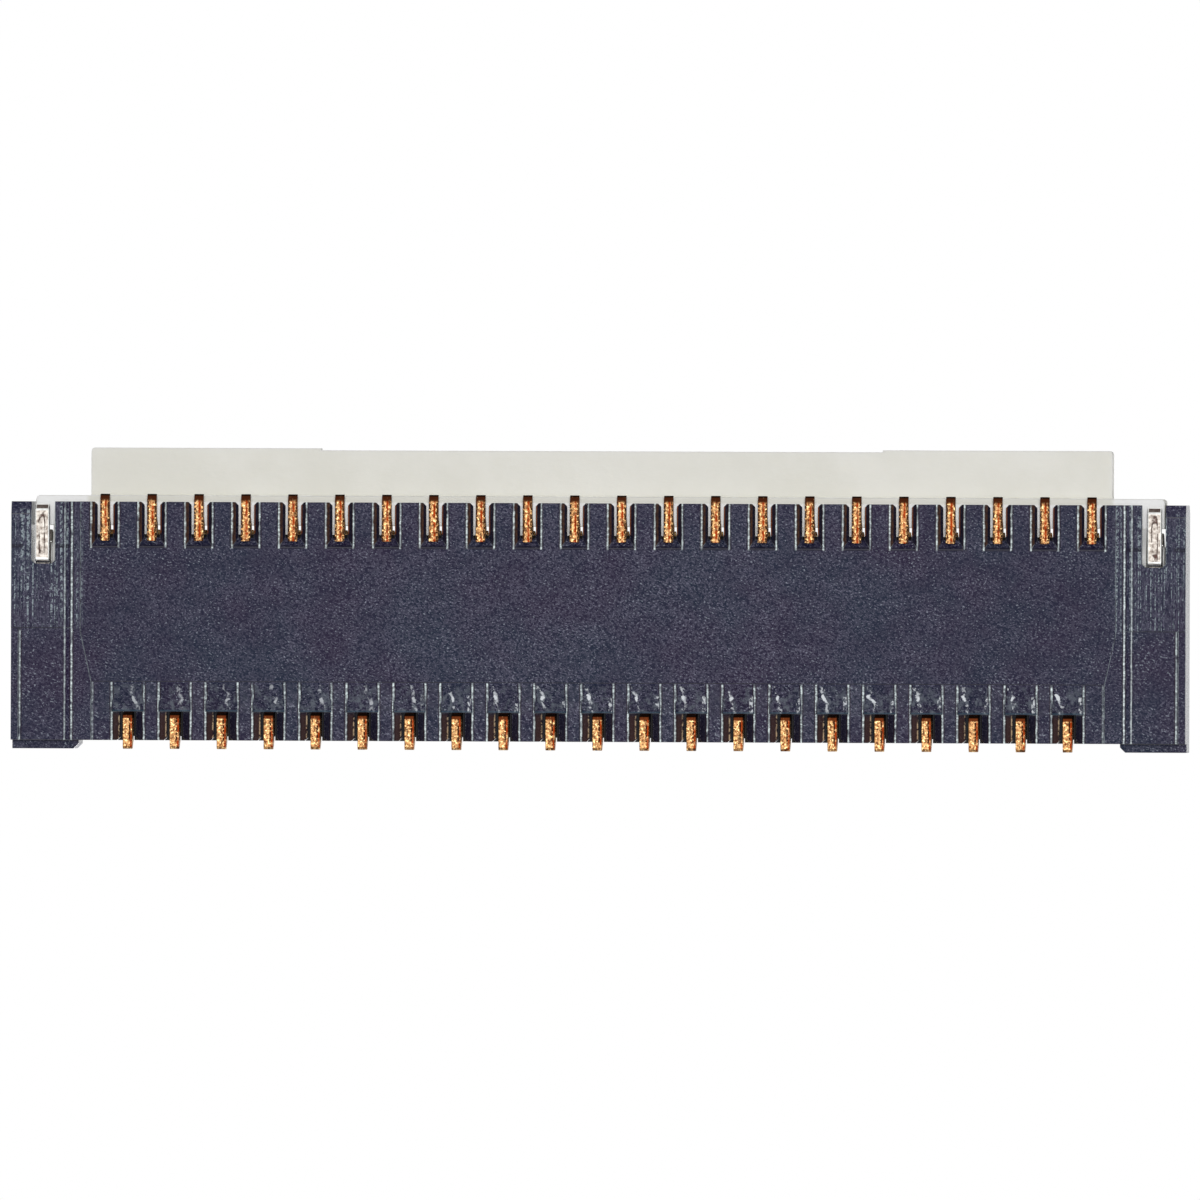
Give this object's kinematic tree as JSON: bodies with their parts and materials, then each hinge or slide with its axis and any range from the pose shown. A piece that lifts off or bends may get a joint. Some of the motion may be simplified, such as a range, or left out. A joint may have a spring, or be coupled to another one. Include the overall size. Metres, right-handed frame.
{
  "type": "fpc connector",
  "caption": "Low-profile surface-mount connector for a flat flexible cable, with staggered gold contacts, two solder hold-downs and a rear flip lock.",
  "frame": {"origin": "middle of the housing base's footprint, on the board surface", "axes": "+X along the connector, -Y towards the side where the cable enters, +Y towards the flip lock, +Z away from the board"},
  "size_m": [0.015, 0.0038, 0.001],
  "materials": {
    "housing_black": "moulded glass-filled liquid-crystal polymer, blue-black, fine grain",
    "lock_ivory": "moulded ivory polymer, slightly translucent",
    "contact_gold": "blanked copper-alloy strip with thin gold plating, soles slightly rough",
    "hold_down_tin": "blanked copper-alloy strip with dull tin plating"
  },
  "bodies": {
    "base": {"housing": "housing_black", "hold_down_left": "hold_down_tin", "hold_down_right": "hold_down_tin", "rear_contact_01": "contact_gold", "rear_contact_02": "contact_gold", "rear_contact_03": "contact_gold", "rear_contact_04": "contact_gold", "rear_contact_05": "contact_gold", "rear_contact_06": "contact_gold", "rear_contact_07": "contact_gold", "rear_contact_08": "contact_gold", "rear_contact_09": "contact_gold", "rear_contact_10": "contact_gold", "rear_contact_11": "contact_gold", "rear_contact_12": "contact_gold", "rear_contact_13": "contact_gold", "rear_contact_14": "contact_gold", "rear_contact_15": "contact_gold", "rear_contact_16": "contact_gold", "rear_contact_17": "contact_gold", "rear_contact_18": "contact_gold", "rear_contact_19": "contact_gold", "rear_contact_20": "contact_gold", "rear_contact_21": "contact_gold", "rear_contact_22": "contact_gold", "front_contact_01": "contact_gold", "front_contact_02": "contact_gold", "front_contact_03": "contact_gold", "front_contact_04": "contact_gold", "front_contact_05": "contact_gold", "front_contact_06": "contact_gold", "front_contact_07": "contact_gold", "front_contact_08": "contact_gold", "front_contact_09": "contact_gold", "front_contact_10": "contact_gold", "front_contact_11": "contact_gold", "front_contact_12": "contact_gold", "front_contact_13": "contact_gold", "front_contact_14": "contact_gold", "front_contact_15": "contact_gold", "front_contact_16": "contact_gold", "front_contact_17": "contact_gold", "front_contact_18": "contact_gold", "front_contact_19": "contact_gold", "front_contact_20": "contact_gold", "front_contact_21": "contact_gold"},
    "lock": {"lock_actuator": "lock_ivory"}
  },
  "joints": [
    {"name": "lock_flip", "type": "hinge", "parent": "base", "child": "lock", "pos_m": [0, 0.00085, 0.00049], "axis": [1, 0, 0], "range_deg": [0, 90]}
  ]
}
